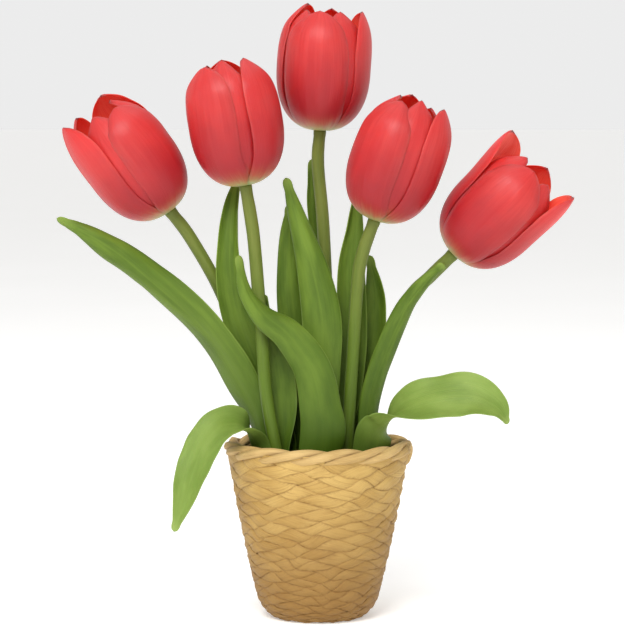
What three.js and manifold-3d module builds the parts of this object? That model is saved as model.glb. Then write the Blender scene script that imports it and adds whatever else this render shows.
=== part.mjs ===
// Five tulips standing in a woven straw vase: stems, leaves and petals as separate solids, with the vase's basket,
// its rope rim and the waterproof liner that holds the stems.
// Millimetres, +Z up. The origin is the centre of the vase's foot, on the surface it stands on. The front faces -Y.

import * as THREE from "three";
import { LoftGeometry } from "three/addons/geometries/LoftGeometry.js";
import { mergeVertices } from "three/addons/utils/BufferGeometryUtils.js";
import Module from "manifold-3d";

const wasm = await Module();
wasm.setup();

// ---- Driving dimensions ----

const GAP = 0.3; // left between pieces that touch

const BASKET = {
  height: 92, // of the woven wall, under the rope
  footRadius: 26, // of the flat that it stands on
  lowRadius: 32, // of the wall's line, carried down to the foot
  topRadius: 51.3,
  bulge: 1, // of the wall, outwards at half height
  cornerHeight: 14, // over which the wall tucks in to the foot
  cornerPower: 2.5, // higher makes the corner rounder at its foot
  wall: 4,
  floor: 4,
};
const ROPE_RADIUS = 4.2;
const LINER = { wall: 1.2, clearance: 0.5, drop: 2 }; // drop: its edge is this far under the basket's
const AROUND = 36; // facets round the vase
const ACROSS = 4; // facets across a petal or a leaf

const STEM_RADIUS = 3.6;
const STEM_LEAN = 17; // the most that a stem leans at its cut end, in degrees
const LEAF_THICKNESS = 1;
const CLASP = [[0, 0, 65], [12, 0.7, 62], [26, 1.8, 56]]; // of a leaf round its stem: [rise, looseness, curl]
const PETAL = {
  thickness: 0.8,
  widest: 0.5, // share of its length up to which its edges follow the cup's meridians
  pointing: 2.8, // higher keeps it wide for longer before it closes in to the tip
  rounding: 0.55, // lower gives a rounder tip
  tipWidth: 0.05, // share of its width left at the very tip
  settling: 0.35, // share of its length over which an inner petal takes its full depth
};

const CUP = {
  height: 72, // of the flower, from the stem's top
  bellyRadius: 26.2,
  bellyHeight: 34,
  mouthRadius: 15.5,
  footRadius: STEM_RADIUS - 0.2, // where the petals stand, just inside the stem's edge
  roundness: 0.85, // under 1, the bowl under the belly is fuller than an ellipse
  closing: 2.8, // higher keeps the side upright for longer before it draws in to the mouth
};
const OUTER = { sink: 0, tuck: 1.5 }; // sink: how far a petal lies inside the cup; tuck: how far its edges dip more
const INNER = { sink: 3.5, tuck: 0.8 };
const SINK_AT_FOOT = 1.4; // the inner petals' sink where they meet the heart
const PETAL_ROWS = [0, 0.12, 0.25, 0.4, 0.55, 0.7, 0.82, 0.91, 0.97, 1]; // closer towards the rounded tip

const HEART = {
  radius: CUP.footRadius - 1.5, // of the seat that the petals stand round
  seatHeight: 4,
  pistilHeight: 21,
  pistilRadius: 2.3,
  stigmaRadius: 3.6,
  stamens: 6,
  stamenRadius: 1.1,
  stamenHeight: 19,
  stamenSpread: 7.5, // how far its tip stands from the axis
};

const FAN = { from: 10, to: 70, bellyRadius: 26.2 }; // heights over the edge, and the flower size its routes are for

// ---- Where things grow ----

// Heights here are over the basket's edge, so that what grows out of the vase keeps its place over the rim.
//
// A stem is a route from its cut end, on the liner's floor, to the flower, which sits square on its end.
// A petal is [turn, half angle, length, lean]: degrees round the cup from the front, positive to the right; degrees
// from its middle to its edge; a share of the cup's height; and millimetres that its tip leans outwards.
const TULIPS = [
  {
    route: [[-8, 6], [-21, 5, -32], [-29, 4, 7], [-39, 3, 50], [-54, 0, 90], [-71, -3, 121], [-82, -6, 136]],
    outer: [[44, 48, 0.94, 0], [-64, 46, 1.02, 4], [158, 48, 1.02, 3]],
    inner: [[-8, 38, 0.98, 0], [102, 40, 1.01, 0], [-128, 42, 1.02, 0]],
  },
  {
    route: [[-8, -9], [-17, -15, -32], [-24, -18, 7], [-29, -17, 37], [-31, -16, 65], [-35, -15, 115],
      [-37, -15, 132], [-40, -16, 150]],
    outer: [[-44, 48, 0.97, 1], [70, 49, 1, -1], [-172, 48, 1, 0]],
    inner: [[-8, 38, 0.98, 0], [112, 40, 1, 0], [-112, 40, 1, 0]],
  },
  {
    route: [[2, 13], [5, 13, -32], [7, 12, 6], [6, 11, 58], [3, 12, 126], [0, 13, 162], [1, 12, 180]],
    outer: [[-14, 47, 0.96, 0], [98, 53, 0.95, 3], [-118, 52, 1.01, 0]],
    inner: [[40, 38, 0.92, 0], [-66, 40, 0.98, 0], [165, 44, 1, 0]],
  },
  {
    route: [[7, -6], [13, -8, -32], [16, -8, 5], [19, -8, 51], [22, -10, 97], [25, -11, 114], [31, -13, 131]],
    outer: [[-42, 48, 0.98, -1], [73, 48, 1, 2], [-165, 48, 1.02, 0]],
    inner: [[14, 38, 1, 0], [-100, 40, 1.02, 0], [125, 40, 1, 0]],
  },
  {
    route: [[13, 5], [20, 2, -32], [24, 0, 4], [33, 1, 51], [50, 0, 86], [63, -2, 100], [75, -5, 112]],
    outer: [[-15, 46, 0.95, 0], [86, 48, 0.97, 7], [-116, 50, 0.98, 11]],
    inner: [[36, 38, 0.96, 0], [-66, 40, 0.99, 0], [160, 44, 1.01, 1]],
  },
];

// A leaf clasps tulip `on` on the side that `side` says, in degrees from the front, upwards of height `from`, and then
// follows its stations: [x, y, z, half width, roll, curl]. A blade at roll 0 faces the front and one at 180 the back;
// curl is the angle in degrees from the middle of its arched section to its edge.
const LEAVES = [
  {
    name: "leaf_left_long", on: 1, side: -60, from: -62,
    stations: [[-31, -6, 6, 7, -45, 45], [-40, -6, 33, 11, -32, 32], [-62, -13, 69, 12.5, -40, 28],
      [-100, -20, 105, 10.5, -38, 30], [-120, -22, 120, 6.5, -35, 35], [-144, -22, 133, 1, -30, 20]],
  },
  {
    name: "leaf_left_upright", on: 1, side: 85, from: -42,
    stations: [[-17, -1.5, 6, 6, 165, 40], [-27, -2, 33, 8, 175, 35], [-38, -5, 58, 8.5, 175, 35],
      [-46, -7, 82, 9, 175, 35], [-49, -7, 106, 9, 168, 40], [-48, -2, 134, 6.5, 160, 45], [-45, 6, 156, 1, 160, 20]],
  },
  {
    name: "leaf_left_drooping", on: 2, side: -95, from: -48,
    stations: [[-34, -17, 5, 8, -52, 35], [-42, -22, 18, 9.5, -92, 25], [-53, -29, 18, 12, -130, 16],
      [-62, -35, 9, 12.5, -140, 14], [-68, -39, -5, 10.5, -150, 18], [-73, -41, -21, 7, -157, 25],
      [-79, -42, -38, 1, -155, 20]],
  },
  {
    name: "leaf_front_twisted", on: 2, side: 45, from: -72,
    stations: [[2, -26, 7, 13, 5, 35], [1, -27, 30, 12, 0, 30], [-4, -28, 51, 11, -5, 30],
      [-16, -28, 69, 9.5, 8, 35], [-29, -28, 80, 8.5, 25, 40], [-39, -27, 94, 5.5, 38, 40],
      [-44, -25, 113, 0.8, 30, 20]],
  },
  {
    name: "leaf_left_inner", on: 2, side: 146, from: -24,
    stations: [[-20, -10, 30, 9, 175, 28], [-23, -9, 55, 8, 180, 30], [-28, -9, 76, 4, 180, 35],
      [-31, -9, 90, 0.8, 180, 20]],
  },
  {
    name: "leaf_centre_broad", on: 4, side: -42, from: -40,
    stations: [[2, -13, 6, 8.5, -10, 42], [2, -14, 48, 11, 0, 32], [2, -14, 76, 11.5, 0, 28],
      [-3, -12, 104, 10, 0, 30], [-12, -10, 134, 6, 0, 35], [-18, -8, 155, 1, 0, 20]],
  },
  {
    name: "leaf_centre_back", on: 3, side: -60, from: -56,
    stations: [[-7, 2, 4, 8, -15, 35], [-9, 2, 30, 9, 0, 32], [-12, 2, 64, 9.5, 10, 32],
      [-15, 2, 93, 9, 10, 32], [-16, 2, 120, 6.5, 10, 35], [-16, 2, 140, 1, 10, 20]],
  },
  {
    name: "leaf_top_narrow", on: 3, side: 180, from: -32,
    stations: [[5, 21, 6, 7, 180, 40], [3, 22, 57, 8, 175, 35], [1, 21, 113, 6, 170, 40],
      [-3, 20, 142, 3.8, 170, 40], [-3, 19, 165, 0.8, 170, 20]],
  },
  {
    name: "leaf_right_upright", on: 4, side: 190, from: -52,
    stations: [[12, 1, 6, 6.5, 170, 40], [16, 3, 32, 8.5, 175, 35], [19, 4, 63, 9, 180, 32],
      [18, 4, 104, 9, 190, 35], [20, 5, 128, 6, 195, 40], [22, 8, 148, 1, 195, 20]],
  },
  {
    name: "leaf_right_back", on: 5, side: 165, from: -38,
    stations: [[23, 12, 5, 8, 160, 40], [27, 13, 32, 9.5, 165, 35], [31, 13, 60, 9, 165, 32],
      [33, 12, 86, 7.5, 165, 35], [29, 10, 111, 0.8, 165, 20]],
  },
  {
    name: "leaf_right_clasping", on: 5, side: 30, from: -16,
    stations: [[30, -6, 32, 6.5, 15, 45], [37, -6, 55, 6.8, 15, 45], [49, -7, 82, 6.5, 15, 50],
      [61, -9, 98, 4.4, 15, 50], [70, -11, 107, 0.8, 15, 20]],
  },
  {
    name: "leaf_right_drooping", on: 5, side: 58, from: -66,
    stations: [[30, -19.5, 5, 11, 12, 30], [37, -22.5, 19, 13, 58, 22], [50, -27, 29, 14, 114, 14],
      [66, -32, 34, 14.5, 138, 14], [83, -35, 35.5, 14, 148, 18], [97, -37, 30, 8.5, 145, 22],
      [104, -38, 21, 1, 135, 20]],
  },
  {
    name: "leaf_rear_short", on: 1, side: 150, from: -76,
    stations: [[-10, 30, 6, 9, 190, 35], [-13, 34, 38, 10, 185, 30], [-13, 38, 68, 8.5, 180, 30],
      [-10, 41, 94, 5, 175, 35], [-7, 43, 110, 0.8, 175, 20]],
  },
  {
    name: "leaf_rear_drooping", on: 3, side: 150, from: -76,
    stations: [[20, 30, 5, 9, 175, 35], [21, 38, 23, 10.5, 180, 22], [22, 52, 31, 11, 180, 14],
      [23, 67, 20, 10, 180, 16], [23, 77, -4, 7, 180, 22], [22, 81, -28, 1, 180, 20]],
  },
];

// ---- Materials ----

const finish = (color, roughness) => new THREE.MeshStandardMaterial({ color, roughness, metalness: 0 });
const petalRed = finish(0xd8403f, 0.5);
const heartGold = finish(0xb9ad4a, 0.7);
const stemGreen = finish(0x8a9a52, 0.55);
const leafGreen = finish(0x5c8a3a, 0.5);
const strawTan = finish(0xc29c55, 0.75);
const linerBrown = finish(0x4b4236, 0.6);

// ---- Helpers ----

const part = new THREE.Group();

function addPiece(name, geometry, material, parent = part) {
  const mesh = new THREE.Mesh(geometry, material);
  mesh.name = name;
  parent.add(mesh);
  return mesh;
}

const radians = THREE.MathUtils.degToRad;
const steps = (count, from = 0, to = 1) =>
  Array.from({ length: count + 1 }, (_, i) => THREE.MathUtils.lerp(from, to, i / count));

// A smooth curve through points; both of a leaf's curves are asked for the same share, so they keep in step.
const through = (points) =>
  new THREE.CatmullRomCurve3(points.map((p) => new THREE.Vector3(...p)), false, "catmullrom", 0.5);

// A closed shell of even thickness, cut in rows at the given shares of its length. face(u, v) gives a point of its
// middle surface and the normal there, with u along it from 0 to 1 and v across it from -1 to 1.
function shell(face, rows, across, thickness) {
  const sections = rows.map((u) => {
    const row = steps(across, -1, 1).map((v) => face(u, v));
    const lift = (side) => ({ point, normal }) => point.clone().addScaledVector(normal, (side * thickness) / 2);
    return [...row.map(lift(-1)), ...row.map(lift(1)).reverse()];
  });
  return new LoftGeometry(sections, { capStart: true, capEnd: true });
}

function solidOf(geometry) {
  const bare = geometry.clone();
  bare.deleteAttribute("normal");
  bare.deleteAttribute("uv");
  const merged = mergeVertices(bare, 1e-3);
  const mesh = new wasm.Mesh({
    numProp: 3,
    vertProperties: merged.attributes.position.array,
    triVerts: new Uint32Array(merged.index.array),
  });
  return new wasm.Manifold(mesh);
}

function geometryOf(solid) {
  const mesh = solid.getMesh();
  const geometry = new THREE.BufferGeometry();
  geometry.setAttribute("position", new THREE.BufferAttribute(mesh.vertProperties, 3));
  geometry.setIndex(new THREE.BufferAttribute(mesh.triVerts, 1));
  geometry.computeVertexNormals();
  return geometry;
}

// ---- The vase ----

// The basket's outer radius at a height: a straight line with a slight bulge, tucked in at the foot.
function basketRadius(z) {
  const { height, footRadius, lowRadius, topRadius, bulge, cornerHeight, cornerPower } = BASKET;
  const share = z / height;
  const line = THREE.MathUtils.lerp(lowRadius, topRadius, share) + bulge * Math.sin(Math.PI * share);
  const tuck = Math.max(0, 1 - z / cornerHeight) ** cornerPower;
  return line - (lowRadius - footRadius) * tuck;
}

// A cup turned round the axis: its outside lies `inset` inside the basket's, from height `low` to `high`.
function cup(inset, wall, floor, low, high) {
  const bend = BASKET.cornerHeight;
  const up = [...steps(4, low, bend), ...steps(3, bend, high).slice(1)];
  const down = [...steps(3, low + floor, bend), ...steps(3, bend, high).slice(1)].reverse();
  const profile = [
    [0, low],
    ...up.map((z) => [basketRadius(z) - inset, z]),
    ...down.map((z) => [basketRadius(z) - inset - wall, z]),
    [0, low + floor],
  ];
  return new THREE.LatheGeometry(profile.map(([r, z]) => new THREE.Vector2(r, z)), AROUND).rotateX(Math.PI / 2);
}

const linerInset = BASKET.wall + LINER.clearance;
const linerLow = BASKET.floor + GAP;
const stemFoot = linerLow + LINER.wall + GAP + STEM_RADIUS * Math.sin(radians(STEM_LEAN)); // middle of the cut end

function addVase() {
  addPiece("basket", cup(0, BASKET.wall, BASKET.floor, 0, BASKET.height), strawTan);
  const linerHigh = BASKET.height - LINER.drop;
  addPiece("liner", cup(linerInset, LINER.wall, LINER.wall, linerLow, linerHigh), linerBrown);
  const rope = new THREE.TorusGeometry(BASKET.topRadius - BASKET.wall / 2, ROPE_RADIUS, 8, AROUND);
  addPiece("rope_rim", rope, strawTan).position.z = BASKET.height + GAP + ROPE_RADIUS;
}

// ---- Stems ----

// A point of a route. Over the rim the arrangement opens out with the size of its flowers, so that they keep apart.
function overEdge([x, y, height]) {
  const open = THREE.MathUtils.smoothstep(height, FAN.from, FAN.to);
  const share = THREE.MathUtils.lerp(1, CUP.bellyRadius / FAN.bellyRadius, open);
  return [x * share, y * share, BASKET.height + height];
}

function stemRoute(tulip) {
  const [[footX, footY], ...rest] = tulip.route;
  return through([[footX, footY, stemFoot], ...rest.map(overEdge)]);
}

function stemGeometry(route) {
  const section = new THREE.Shape().absarc(0, 0, STEM_RADIUS, 0, 2 * Math.PI);
  return new THREE.ExtrudeGeometry(section, { steps: 14, extrudePath: route, curveSegments: 5 });
}

// The point of a stem's middle line at a height, found by halving.
function stemAt(route, z) {
  let [low, high] = [0, 1];
  for (let i = 0; i < 30; i++) {
    const middle = (low + high) / 2;
    if (route.getPoint(middle).z < z) low = middle;
    else high = middle;
  }
  return route.getPoint(low);
}

// ---- Flowers ----

// A point of the cup's outline at share t of its height's run, as [radius, height]: a rounded bowl up to the belly,
// then a side that draws in to the mouth.
function cupOutline(t) {
  const { height, bellyRadius, bellyHeight, mouthRadius, footRadius, roundness, closing } = CUP;
  if (t < 0.5) {
    const start = Math.asin((footRadius / bellyRadius) ** (1 / roundness));
    const angle = THREE.MathUtils.lerp(start, Math.PI / 2, t / 0.5);
    return [bellyRadius * Math.sin(angle) ** roundness, bellyHeight * (1 - Math.cos(angle) ** roundness)];
  }
  const share = (t - 0.5) / 0.5;
  const radius = bellyRadius - (bellyRadius - mouthRadius) * share ** closing;
  return [radius, THREE.MathUtils.lerp(bellyHeight, height, share)];
}

// The middle surface of a petal. Its edges follow the cup's meridians up to the belly and then close in to the tip.
function petalFace([turn, halfAngle, length, lean], { sink, tuck }) {
  return (u, v) => {
    const t = u * length;
    const above = Math.max(0, (u - PETAL.widest) / (1 - PETAL.widest));
    const taper = Math.max((1 - above ** PETAL.pointing) ** PETAL.rounding, PETAL.tipWidth);
    const angle = radians(turn + halfAngle * taper * v);
    const [radius, height] = cupOutline(t);
    const [nextRadius, nextHeight] = cupOutline(t + 0.001);
    const run = Math.hypot(nextRadius - radius, nextHeight - height);
    const inwards = [-(nextHeight - height) / run, (nextRadius - radius) / run];
    const settle = THREE.MathUtils.smoothstep(u, 0, PETAL.settling);
    const depth = THREE.MathUtils.lerp(sink && SINK_AT_FOOT, sink, settle) + tuck * settle * Math.abs(v) ** 2.5;
    const r = radius + inwards[0] * depth + lean * above ** 2;
    const z = height + inwards[1] * depth + PETAL.thickness;
    return {
      point: new THREE.Vector3(r * Math.sin(angle), -r * Math.cos(angle), z),
      normal: new THREE.Vector3(inwards[0] * Math.sin(angle), -inwards[0] * Math.cos(angle), inwards[1]),
    };
  };
}

// The seat, the pistil with its stigma, and the stamens round it, joined in one solid.
function heartGeometry() {
  const { radius, seatHeight, pistilHeight, pistilRadius, stigmaRadius } = HEART;
  const { stamens, stamenRadius, stamenHeight, stamenSpread } = HEART;
  const profile = [[0, 0], [radius, 0], [radius, seatHeight], [pistilRadius, seatHeight + 2],
    [pistilRadius, pistilHeight - 3], [stigmaRadius, pistilHeight - 1], [0, pistilHeight]];
  const pistil = new THREE.LatheGeometry(profile.map(([r, z]) => new THREE.Vector2(r, z)), 8).rotateX(Math.PI / 2);
  let heart = solidOf(pistil);
  for (let i = 0; i < stamens; i++) {
    const turn = (i / stamens) * 2 * Math.PI;
    const at = (r, z) => new THREE.Vector3(r * Math.cos(turn), r * Math.sin(turn), z);
    const [root, tip] = [at(radius / 2, seatHeight - 1), at(stamenSpread, stamenHeight)];
    const stamen = new THREE.CylinderGeometry(stamenRadius, stamenRadius * 0.6, root.distanceTo(tip), 5);
    stamen.rotateX(Math.PI / 2);
    stamen.applyQuaternion(
      new THREE.Quaternion().setFromUnitVectors(new THREE.Vector3(0, 0, 1), tip.clone().sub(root).normalize()),
    );
    stamen.translate(...root.clone().add(tip).multiplyScalar(0.5).toArray());
    heart = heart.add(solidOf(stamen));
  }
  return geometryOf(heart);
}

function addTulip(tulip, number) {
  const route = stemRoute(tulip);
  addPiece(`tulip_${number}_stem`, stemGeometry(route), stemGreen);

  const head = new THREE.Group();
  const axis = route.getTangent(1);
  head.position.copy(route.getPoint(1)).addScaledVector(axis, GAP);
  head.quaternion.setFromUnitVectors(new THREE.Vector3(0, 0, 1), axis);
  part.add(head);

  addPiece(`tulip_${number}_heart`, heartGeometry(), heartGold, head);
  for (const [whorl, layer] of [["outer", OUTER], ["inner", INNER]]) {
    tulip[whorl].forEach((petal, i) => {
      const geometry = shell(petalFace(petal, layer), PETAL_ROWS, ACROSS, PETAL.thickness);
      addPiece(`tulip_${number}_${whorl}_petal_${i + 1}`, geometry, petalRed, head);
    });
  }
}

// ---- Leaves ----

// A blade's middle surface, along its stations. It starts as a clasp round its stem and opens into an arched blade.
function leafFace({ on, side, from, stations }) {
  const route = stemRoute(TULIPS[on - 1]);
  const reach = STEM_RADIUS + GAP + LEAF_THICKNESS;
  const outwards = new THREE.Vector3(Math.sin(radians(side)), -Math.cos(radians(side)), 0);
  const clasp = CLASP.map(([rise, loosen, curl]) => {
    const middle = stemAt(route, BASKET.height + from + rise).addScaledVector(outwards, reach + loosen);
    return [...middle.toArray(), (reach + loosen) * radians(curl), side, curl];
  });
  const rows = [...clasp, ...stations.map(([x, y, z, ...shape]) => [...overEdge([x, y, z]), ...shape])];
  const middle = through(rows.map(([x, y, z]) => [x, y, z]));
  const shape = through(rows.map(([, , , halfWidth, roll, curl]) => [halfWidth, roll, curl]));

  return (u, v) => {
    const centre = middle.getPoint(u);
    const tangent = middle.getTangent(u);
    const [halfWidth, roll, curl] = shape.getPoint(u).toArray();
    const level = new THREE.Vector3(0, 1, 0).cross(tangent).normalize();
    const back = tangent.clone().cross(level);
    const across = level.clone().applyAxisAngle(tangent, radians(roll));
    const hollow = back.applyAxisAngle(tangent, radians(roll)); // towards the hollow side of the arch
    const bend = radians(curl);
    const point = centre
      .addScaledVector(across, (halfWidth * Math.sin(bend * v)) / bend)
      .addScaledVector(hollow, (halfWidth * (1 - Math.cos(bend * v))) / bend);
    const normal = hollow.clone().multiplyScalar(Math.cos(bend * v)).addScaledVector(across, -Math.sin(bend * v));
    return { point, normal };
  };
}

function addLeaf(leaf) {
  const rows = steps(2 * leaf.stations.length + 4);
  addPiece(leaf.name, shell(leafFace(leaf), rows, ACROSS, LEAF_THICKNESS), leafGreen);
}

addVase();
TULIPS.forEach((tulip, i) => addTulip(tulip, i + 1));
LEAVES.forEach(addLeaf);

export default part;
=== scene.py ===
"""Five red tulips with their leaves in a woven straw vase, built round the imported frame.

Lengths are millimetres until a mesh is made, in the row frame: +Z up, the front faces -Y, and the origin is
the centre of the vase's foot. A "sheet" is a grid of points. A piece is one or more sheets, welded where they
meet.
"""

import math
import random

import bmesh
import bpy
import numpy as np
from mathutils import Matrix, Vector


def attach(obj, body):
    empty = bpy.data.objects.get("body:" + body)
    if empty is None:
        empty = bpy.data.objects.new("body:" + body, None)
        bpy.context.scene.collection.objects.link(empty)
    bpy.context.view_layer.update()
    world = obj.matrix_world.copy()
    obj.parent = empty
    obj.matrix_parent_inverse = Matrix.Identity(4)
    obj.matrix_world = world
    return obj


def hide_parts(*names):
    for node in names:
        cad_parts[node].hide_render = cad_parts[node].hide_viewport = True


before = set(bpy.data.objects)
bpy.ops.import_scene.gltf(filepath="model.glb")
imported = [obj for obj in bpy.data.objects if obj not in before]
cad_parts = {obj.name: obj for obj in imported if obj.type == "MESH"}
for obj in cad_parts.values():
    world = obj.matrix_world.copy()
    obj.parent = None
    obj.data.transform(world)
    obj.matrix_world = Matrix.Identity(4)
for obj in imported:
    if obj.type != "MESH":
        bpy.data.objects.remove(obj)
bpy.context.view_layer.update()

MM = 0.001
WELD = 2e-6  # metres; points closer than this are one
UP = np.array([0, 0, 1])
WHOLE_TILE = (0.01, 0.01, 0.99, 0.99)  # a sheet's UV box: low x, low y, high x, high y
OUTER_TILE = (0.01, 0.01, 0.49, 0.99)
INNER_TILE = (0.51, 0.01, 0.99, 0.99)

# ---- Sizes of the object ----
# The CAD part has the same ones, but for a few petals, the inner petals' depth and some stations of three
# leaves.

GAP = 0.3
BASKET = {
    "height": 92, "foot_radius": 26, "low_radius": 32, "top_radius": 51.3, "bulge": 1,
    "corner_height": 14, "corner_power": 2.5, "wall": 4, "floor": 4,
}
ROPE_RADIUS = 4.2
LINER = {"wall": 1.2, "clearance": 0.5, "drop": 2}
STEM_RADIUS = 3.6
STEM_LEAN = 17
LEAF_THICKNESS = 1.0
CLASP = [(0, 0, 65), (12, 0.7, 62), (26, 1.8, 56)]
CUP = {
    "height": 72, "belly_radius": 26.2, "belly_height": 34, "mouth_radius": 15.5,
    "foot_radius": 3.4, "roundness": 0.85, "closing": 2.8,
}
OUTER = {"sink": 0, "tuck": 1.5}
INNER = {"sink": 2.5, "tuck": 1.6}
SINK_AT_FOOT = 1.4
PETAL_THICKNESS = 0.8

# Each tulip: its stem's route as (x, y, height over the basket's edge), the first point being the cut end on
# the liner's floor; then its petals as (turn, half angle, length, lean).
TULIPS = [
    {
        "route": [(-8, 6), (-21, 5, -32), (-29, 4, 7), (-39, 3, 50), (-54, 0, 90), (-71, -3, 121),
                  (-82, -6, 136)],
        "outer": [(44, 48, 0.94, 0), (-70, 53, 1.01, 5), (158, 48, 1.02, 3)],
        "inner": [(-8, 38, 1.0, 0), (102, 40, 1.01, 0), (-117, 44, 1.03, 2.5)],
    },
    {
        "route": [(-8, -9), (-17, -15, -32), (-24, -18, 7), (-29, -17, 37), (-31, -16, 65), (-35, -15, 115),
                  (-37, -15, 132), (-40, -16, 150)],
        "outer": [(-44, 48, 0.97, 1), (70, 49, 1, -1), (-172, 48, 1, 0)],
        "inner": [(-8, 40, 1.03, 0), (112, 40, 1, 0), (-112, 40, 1, 0)],
    },
    {
        "route": [(2, 13), (5, 13, -32), (7, 12, 6), (6, 11, 58), (3, 12, 126), (0, 13, 162), (1, 12, 180)],
        "outer": [(-14, 47, 0.96, 0), (98, 53, 0.95, 3), (-118, 52, 1.01, 0)],
        "inner": [(40, 40, 0.98, 0), (-66, 40, 0.98, 0), (165, 44, 1, 0)],
    },
    {
        "route": [(7, -6), (13, -8, -32), (16, -8, 5), (19, -8, 51), (22, -10, 97), (25, -11, 114),
                  (31, -13, 131)],
        "outer": [(-42, 48, 0.98, -1), (73, 48, 1, 2), (-165, 48, 1.02, 0)],
        "inner": [(14, 40, 1.05, 0), (-100, 40, 1.02, 0), (125, 40, 1, 0)],
    },
    {
        "route": [(13, 5), (20, 2, -32), (24, 0, 4), (33, 1, 51), (50, 0, 86), (63, -2, 100), (75, -5, 112)],
        "outer": [(-15, 46, 0.95, 0), (86, 48, 0.97, 7), (-116, 50, 0.98, 11)],
        "inner": [(36, 38, 0.96, 0), (-66, 40, 0.99, 0), (160, 44, 1.01, 1)],
    },
]

# Each leaf: the tulip that it clasps, on which side, from which height; then its stations as
# (x, y, height over the edge, half width, roll, curl).
LEAVES = {
    "leaf_left_long": (1, -60, -62, [
        (-31, -6, 6, 7, -45, 45), (-40, -6, 33, 11, -32, 32), (-62, -13, 69, 12.5, -40, 28),
        (-100, -20, 105, 11, -10, 62), (-120, -22, 120, 8.5, 5, 70), (-144, -22, 133, 1, -30, 20)]),
    "leaf_left_upright": (1, 85, -42, [
        (-17, -1.5, 6, 6, 165, 40), (-27, -2, 33, 8, 175, 35), (-38, -5, 58, 8.5, 175, 35),
        (-46, -7, 82, 9, 175, 35), (-49, -7, 106, 9, 168, 40), (-48, -2, 134, 6.5, 160, 45),
        (-45, 6, 156, 1, 160, 20)]),
    "leaf_left_drooping": (2, -95, -48, [
        (-34, -17, 5, 9.5, -54, 46), (-42, -22, 17, 12.5, -100, 64), (-53, -29, 18, 13, -130, 34),
        (-62, -35, 9, 12.5, -140, 14), (-68, -39, -5, 10.5, -150, 18), (-73, -41, -21, 7, -157, 25),
        (-79, -42, -38, 1, -155, 20)]),
    "leaf_front_twisted": (2, 45, -72, [
        (2, -26, 7, 13, 5, 35), (1, -27, 30, 12, 0, 30), (-4, -28, 51, 11, -5, 30),
        (-16, -28, 69, 9.5, 8, 35), (-29, -28, 80, 8.5, 25, 40), (-39, -27, 94, 5.5, 38, 40),
        (-44, -25, 113, 0.8, 30, 20)]),
    "leaf_left_inner": (2, 146, -24, [
        (-20, -10, 30, 9, 175, 28), (-23, -9, 55, 8, 180, 30), (-28, -9, 76, 4, 180, 35),
        (-31, -9, 90, 0.8, 180, 20)]),
    "leaf_centre_broad": (4, -42, -40, [
        (2, -13, 6, 8.5, -10, 42), (2, -14, 48, 11, 0, 32), (2, -14, 76, 11.5, 0, 28),
        (-3, -12, 104, 10, 0, 30), (-12, -10, 134, 6, 0, 35), (-18, -8, 155, 1, 0, 20)]),
    "leaf_centre_back": (3, -60, -56, [
        (-7, 2, 4, 8, -15, 35), (-9, 2, 30, 9, 0, 32), (-12, 2, 64, 9.5, 10, 32),
        (-15, 2, 93, 9, 10, 32), (-16, 2, 120, 6.5, 10, 35), (-16, 2, 140, 1, 10, 20)]),
    "leaf_top_narrow": (3, 180, -32, [
        (5, 21, 6, 7, 180, 40), (3, 22, 57, 8, 175, 35), (1, 21, 113, 6, 170, 40),
        (-3, 20, 142, 3.8, 170, 40), (-3, 19, 165, 0.8, 170, 20)]),
    "leaf_right_upright": (4, 190, -52, [
        (12, 1, 6, 6.5, 170, 40), (16, 3, 32, 8.5, 175, 35), (19, 4, 63, 9, 180, 32),
        (18, 4, 104, 9, 190, 35), (20, 5, 128, 6, 195, 40), (22, 8, 148, 1, 195, 20)]),
    "leaf_right_back": (5, 165, -38, [
        (23, 12, 5, 8, 160, 40), (27, 13, 32, 9.5, 165, 35), (31, 13, 60, 9, 165, 32),
        (33, 12, 86, 7.5, 165, 35), (29, 10, 111, 0.8, 165, 20)]),
    "leaf_right_clasping": (5, 30, -16, [
        (30, -6, 32, 6.5, 15, 45), (37, -6, 55, 6.8, 15, 45), (49, -7, 82, 6.5, 15, 50),
        (61, -9, 98, 4.4, 15, 50), (70, -11, 107, 0.8, 15, 20)]),
    "leaf_right_drooping": (5, 58, -66, [
        (30, -19.5, 5, 11, 12, 34), (37, -22.5, 19, 13.5, 64, 56), (50, -27, 28, 15, 118, 46),
        (66, -32, 34, 14.5, 138, 14), (83, -35, 35.5, 14, 148, 18), (97, -37, 30, 8.5, 145, 22),
        (104, -38, 21, 1, 135, 20)]),
    "leaf_rear_short": (1, 150, -76, [
        (-10, 30, 6, 9, 190, 35), (-13, 34, 38, 10, 185, 30), (-13, 38, 68, 8.5, 180, 30),
        (-10, 41, 94, 5, 175, 35), (-7, 43, 110, 0.8, 175, 20)]),
    "leaf_rear_drooping": (3, 150, -76, [
        (20, 30, 5, 9, 175, 35), (21, 38, 23, 10.5, 180, 22), (22, 52, 31, 11, 180, 14),
        (23, 67, 20, 10, 180, 16), (23, 77, -4, 7, 180, 22), (22, 81, -28, 1, 180, 20)]),
}
PALE_LEAVES = ("leaf_left_drooping", "leaf_right_drooping", "leaf_rear_drooping")

# ---- Sizes of the finer detail ----

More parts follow.
